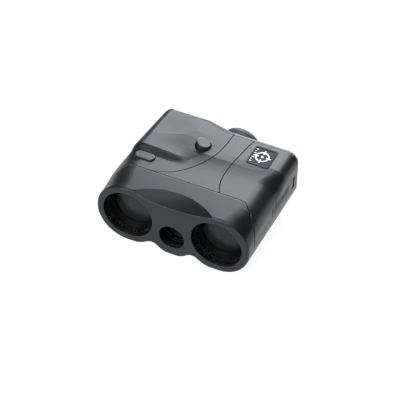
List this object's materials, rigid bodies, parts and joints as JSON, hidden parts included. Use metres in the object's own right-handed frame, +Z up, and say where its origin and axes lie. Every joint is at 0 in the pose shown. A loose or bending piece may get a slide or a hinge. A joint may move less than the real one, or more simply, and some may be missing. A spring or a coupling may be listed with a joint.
{
  "type": "laser rangefinder",
  "caption": "Hand-held binocular-style laser rangefinder with large transmit and receive objectives, a small sighting objective, one eyepiece, top buttons and a battery grip.",
  "frame": {"origin": "on the base plane, at the middle of the overall width and depth", "axes": "+X to the right seen from the front, -Y towards the target (objective end), +Z up"},
  "size_m": [0.132, 0.1204, 0.062],
  "materials": {
    "shell": "satin, finely textured",
    "button": "satin",
    "baffle": "matte black",
    "coated_glass": "coated",
    "prism_glass": "polished",
    "display": "satin",
    "rubber": "matte",
    "ring": "satin, ribbed",
    "steel": "satin",
    "brass": "machined",
    "badge": "gloss",
    "frame": "glass-filled, matte",
    "board": "solder mask",
    "switch": "matte",
    "module": "machined",
    "battery": "wrapped"
  },
  "bodies": {
    "housing": {"front_housing": "shell", "base_cover": "shell", "grip_cover": "shell", "center_cover": "shell", "side_cover": "shell", "rear_cover": "shell", "transmit_hood": "baffle", "receive_hood": "baffle", "sight_hood": "baffle", "transmit_barrel": "baffle", "receive_barrel": "baffle", "sight_barrel": "baffle", "eyepiece_sleeve": "baffle", "prism_cradle": "baffle", "transmit_lens": "coated_glass", "receive_lens": "coated_glass", "sight_lens": "coated_glass", "field_lens": "coated_glass", "prism": "prism_glass", "reticle_display": "display", "fire_boot": "rubber", "mode_boot": "rubber", "objective_seals": "rubber", "strap_pin": "ring", "case_screws": "steel", "rear_screws": "steel", "hinge_pin": "steel", "battery_contacts": "steel", "tripod_insert": "brass", "badge_plate": "badge", "optical_chassis": "frame", "battery_tray": "frame", "main_board": "board", "switch_board": "board", "fire_switch": "switch", "mode_switch": "switch", "laser_module": "module", "detector_module": "module", "battery": "battery"},
    "fire_button": {"fire_button": "button"},
    "mode_button": {"mode_button": "button"},
    "battery_door": {"battery_door": "shell"},
    "eyepiece": {"diopter_ring": "ring", "eye_cell": "baffle", "eye_lens": "coated_glass", "eyecup": "rubber"}
  },
  "joints": [
    {"name": "fire_press", "type": "slide", "parent": "housing", "child": "fire_button", "axis": [0, 0, -1], "range_m": [0, 0.0008], "stiffness_N_per_m": 1000, "deforming": ["fire_boot"]},
    {"name": "mode_press", "type": "slide", "parent": "housing", "child": "mode_button", "axis": [0, 0, -1], "range_m": [0, 0.0008], "stiffness_N_per_m": 1000, "deforming": ["mode_boot"]},
    {"name": "battery_door_hinge", "type": "hinge", "parent": "housing", "child": "battery_door", "pos_m": [-0.0502, 0.04005, 0.0375], "axis": [0, 0, 1], "range_deg": [0, 90]},
    {"name": "diopter_turn", "type": "hinge", "parent": "housing", "child": "eyepiece", "pos_m": [0.0055, 0.04525, 0.025], "axis": [0, 1, 0], "range_deg": [-100, 100]}
  ]
}
